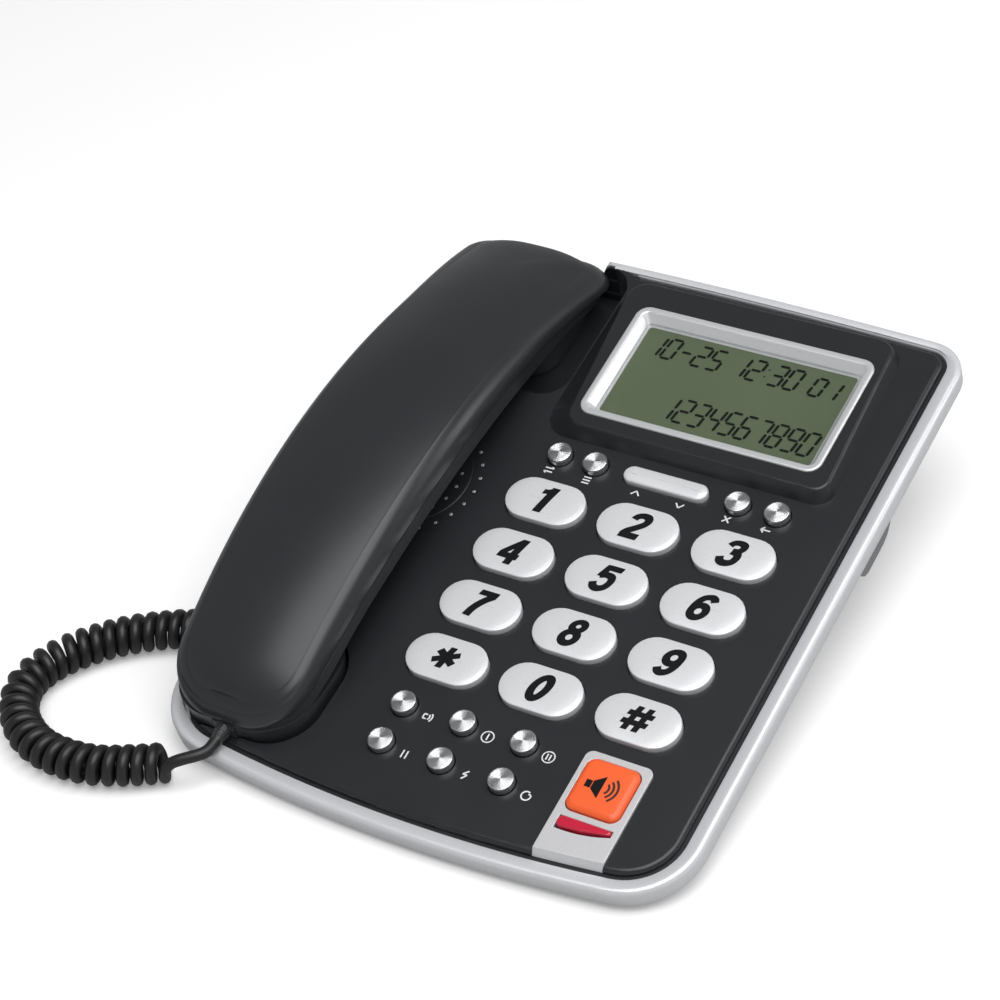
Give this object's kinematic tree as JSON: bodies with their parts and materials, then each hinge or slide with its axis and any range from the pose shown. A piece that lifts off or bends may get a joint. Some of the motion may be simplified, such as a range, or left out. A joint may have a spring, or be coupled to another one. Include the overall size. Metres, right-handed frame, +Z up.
{
  "type": "corded telephone",
  "caption": "Corded desk telephone with a curved handset on its cradle, a keypad, a tilted display, silver trim and a curly cord.",
  "frame": {"origin": "middle of the phone's box on the table, cord left out", "axes": "+X to the right of the keypad, +Y away from the user, +Z up"},
  "size_m": [0.2292, 0.2365, 0.0649],
  "materials": {
    "black_plastic": "satin moulded",
    "dark_plastic": "fine matt grain",
    "silver_trim": "silver paint, satin",
    "chrome_buttons": "spun top, polished side",
    "display_glass": "clear window",
    "display_green": "grey-green reflective display",
    "orange_button": "satin moulded orange",
    "red_lamp": "translucent crimson lens",
    "cord_black": "satin vinyl",
    "clear_plug": "clear moulded plug",
    "rubber": "matt",
    "board_green": "solder-masked board",
    "socket_plastic": "plain moulded",
    "steel": "plated"
  },
  "bodies": {
    "base": {"bottom_case": "dark_plastic", "trim_frame": "silver_trim", "top_cover": "black_plastic", "display_bezel": "silver_trim", "display_window": "display_glass", "display_panel": "display_green", "main_board": "board_green", "key_mat": "rubber", "loudspeaker": "dark_plastic", "speaker_plate": "silver_trim", "status_lamp": "red_lamp", "handset_jack": "socket_plastic", "line_jack": "socket_plastic", "rubber_feet": "rubber", "case_screws": "steel", "hook_switch": "dark_plastic", "batteries": "steel", "handset_cord": "cord_black", "cord_plug_base": "clear_plug"},
    "handset": {"handset_top_shell": "black_plastic", "handset_bottom_shell": "black_plastic", "receiver_capsule": "steel", "microphone_capsule": "steel", "handset_weight": "steel", "handset_socket": "socket_plastic", "handset_screws": "steel", "cord_plug_handset": "clear_plug"},
    "volume_rocker": {"volume_rocker": "silver_trim"},
    "speaker_button": {"speaker_button": "orange_button"},
    "hook_plunger": {"hook_plunger": "dark_plastic"},
    "battery_cover": {"battery_cover": "dark_plastic"},
    "key_1": {"key_1": "silver_trim"},
    "key_2": {"key_2": "silver_trim"},
    "key_3": {"key_3": "silver_trim"},
    "key_4": {"key_4": "silver_trim"},
    "key_5": {"key_5": "silver_trim"},
    "key_6": {"key_6": "silver_trim"},
    "key_7": {"key_7": "silver_trim"},
    "key_8": {"key_8": "silver_trim"},
    "key_9": {"key_9": "silver_trim"},
    "key_star": {"key_star": "silver_trim"},
    "key_0": {"key_0": "silver_trim"},
    "key_hash": {"key_hash": "silver_trim"},
    "menu_button_1": {"menu_button_1": "chrome_buttons"},
    "menu_button_2": {"menu_button_2": "chrome_buttons"},
    "menu_button_3": {"menu_button_3": "chrome_buttons"},
    "menu_button_4": {"menu_button_4": "chrome_buttons"},
    "function_button_1": {"function_button_1": "chrome_buttons"},
    "function_button_2": {"function_button_2": "chrome_buttons"},
    "function_button_3": {"function_button_3": "chrome_buttons"},
    "function_button_4": {"function_button_4": "chrome_buttons"},
    "function_button_5": {"function_button_5": "chrome_buttons"},
    "function_button_6": {"function_button_6": "chrome_buttons"}
  },
  "joints": [
    {"name": "key_1_press", "type": "slide", "parent": "base", "child": "key_1", "axis": [0, 0.2079, -0.9781], "range_m": [0, 0.001], "stiffness_N_per_m": 700},
    {"name": "key_2_press", "type": "slide", "parent": "base", "child": "key_2", "axis": [0, 0.2079, -0.9781], "range_m": [0, 0.001], "stiffness_N_per_m": 700},
    {"name": "key_3_press", "type": "slide", "parent": "base", "child": "key_3", "axis": [0, 0.2079, -0.9781], "range_m": [0, 0.001], "stiffness_N_per_m": 700},
    {"name": "key_4_press", "type": "slide", "parent": "base", "child": "key_4", "axis": [0, 0.2079, -0.9781], "range_m": [0, 0.001], "stiffness_N_per_m": 700},
    {"name": "key_5_press", "type": "slide", "parent": "base", "child": "key_5", "axis": [0, 0.2079, -0.9781], "range_m": [0, 0.001], "stiffness_N_per_m": 700},
    {"name": "key_6_press", "type": "slide", "parent": "base", "child": "key_6", "axis": [0, 0.2079, -0.9781], "range_m": [0, 0.001], "stiffness_N_per_m": 700},
    {"name": "key_7_press", "type": "slide", "parent": "base", "child": "key_7", "axis": [0, 0.2079, -0.9781], "range_m": [0, 0.001], "stiffness_N_per_m": 700},
    {"name": "key_8_press", "type": "slide", "parent": "base", "child": "key_8", "axis": [0, 0.2079, -0.9781], "range_m": [0, 0.001], "stiffness_N_per_m": 700},
    {"name": "key_9_press", "type": "slide", "parent": "base", "child": "key_9", "axis": [0, 0.2079, -0.9781], "range_m": [0, 0.001], "stiffness_N_per_m": 700},
    {"name": "key_star_press", "type": "slide", "parent": "base", "child": "key_star", "axis": [0, 0.2079, -0.9781], "range_m": [0, 0.001], "stiffness_N_per_m": 700},
    {"name": "key_0_press", "type": "slide", "parent": "base", "child": "key_0", "axis": [0, 0.2079, -0.9781], "range_m": [0, 0.001], "stiffness_N_per_m": 700},
    {"name": "key_hash_press", "type": "slide", "parent": "base", "child": "key_hash", "axis": [0, 0.2079, -0.9781], "range_m": [0, 0.001], "stiffness_N_per_m": 700},
    {"name": "menu_button_1_press", "type": "slide", "parent": "base", "child": "menu_button_1", "axis": [0, 0.2079, -0.9781], "range_m": [0, 0.001], "stiffness_N_per_m": 500},
    {"name": "menu_button_2_press", "type": "slide", "parent": "base", "child": "menu_button_2", "axis": [0, 0.2079, -0.9781], "range_m": [0, 0.001], "stiffness_N_per_m": 500},
    {"name": "menu_button_3_press", "type": "slide", "parent": "base", "child": "menu_button_3", "axis": [0, 0.2079, -0.9781], "range_m": [0, 0.001], "stiffness_N_per_m": 500},
    {"name": "menu_button_4_press", "type": "slide", "parent": "base", "child": "menu_button_4", "axis": [0, 0.2079, -0.9781], "range_m": [0, 0.001], "stiffness_N_per_m": 500},
    {"name": "function_button_1_press", "type": "slide", "parent": "base", "child": "function_button_1", "axis": [0, 0.2079, -0.9781], "range_m": [0, 0.001], "stiffness_N_per_m": 500},
    {"name": "function_button_2_press", "type": "slide", "parent": "base", "child": "function_button_2", "axis": [0, 0.2079, -0.9781], "range_m": [0, 0.001], "stiffness_N_per_m": 500},
    {"name": "function_button_3_press", "type": "slide", "parent": "base", "child": "function_button_3", "axis": [0, 0.2079, -0.9781], "range_m": [0, 0.001], "stiffness_N_per_m": 500},
    {"name": "function_button_4_press", "type": "slide", "parent": "base", "child": "function_button_4", "axis": [0, 0.2079, -0.9781], "range_m": [0, 0.001], "stiffness_N_per_m": 500},
    {"name": "function_button_5_press", "type": "slide", "parent": "base", "child": "function_button_5", "axis": [0, 0.2079, -0.9781], "range_m": [0, 0.001], "stiffness_N_per_m": 500},
    {"name": "function_button_6_press", "type": "slide", "parent": "base", "child": "function_button_6", "axis": [0, 0.2079, -0.9781], "range_m": [0, 0.001], "stiffness_N_per_m": 500},
    {"name": "speaker_button_press", "type": "slide", "parent": "base", "child": "speaker_button", "axis": [0, 0.2079, -0.9781], "range_m": [0, 0.001], "stiffness_N_per_m": 700},
    {"name": "volume_rock", "type": "hinge", "parent": "base", "child": "volume_rocker", "pos_m": [0.0214, 0.02837, 0.03363], "axis": [0, 0.9781, 0.2079], "range_deg": [-2.5, 2.5], "stiffness_Nm_per_rad": 0.12},
    {"name": "handset_lift", "type": "slide", "parent": "base", "child": "handset", "axis": [0, -0.1575, 0.9875], "range_m": [0, 0.06]},
    {"name": "hook_rise", "type": "slide", "parent": "base", "child": "hook_plunger", "axis": [0, -0.1575, 0.9875], "range_m": [0, 0.003]},
    {"name": "battery_cover_slide", "type": "slide", "parent": "base", "child": "battery_cover", "axis": [0, 1, 0], "range_m": [0, 0.012]}
  ],
  "couplings": [
    {"joint": "hook_rise", "follows": "handset_lift", "ratio": 0.05}
  ]
}
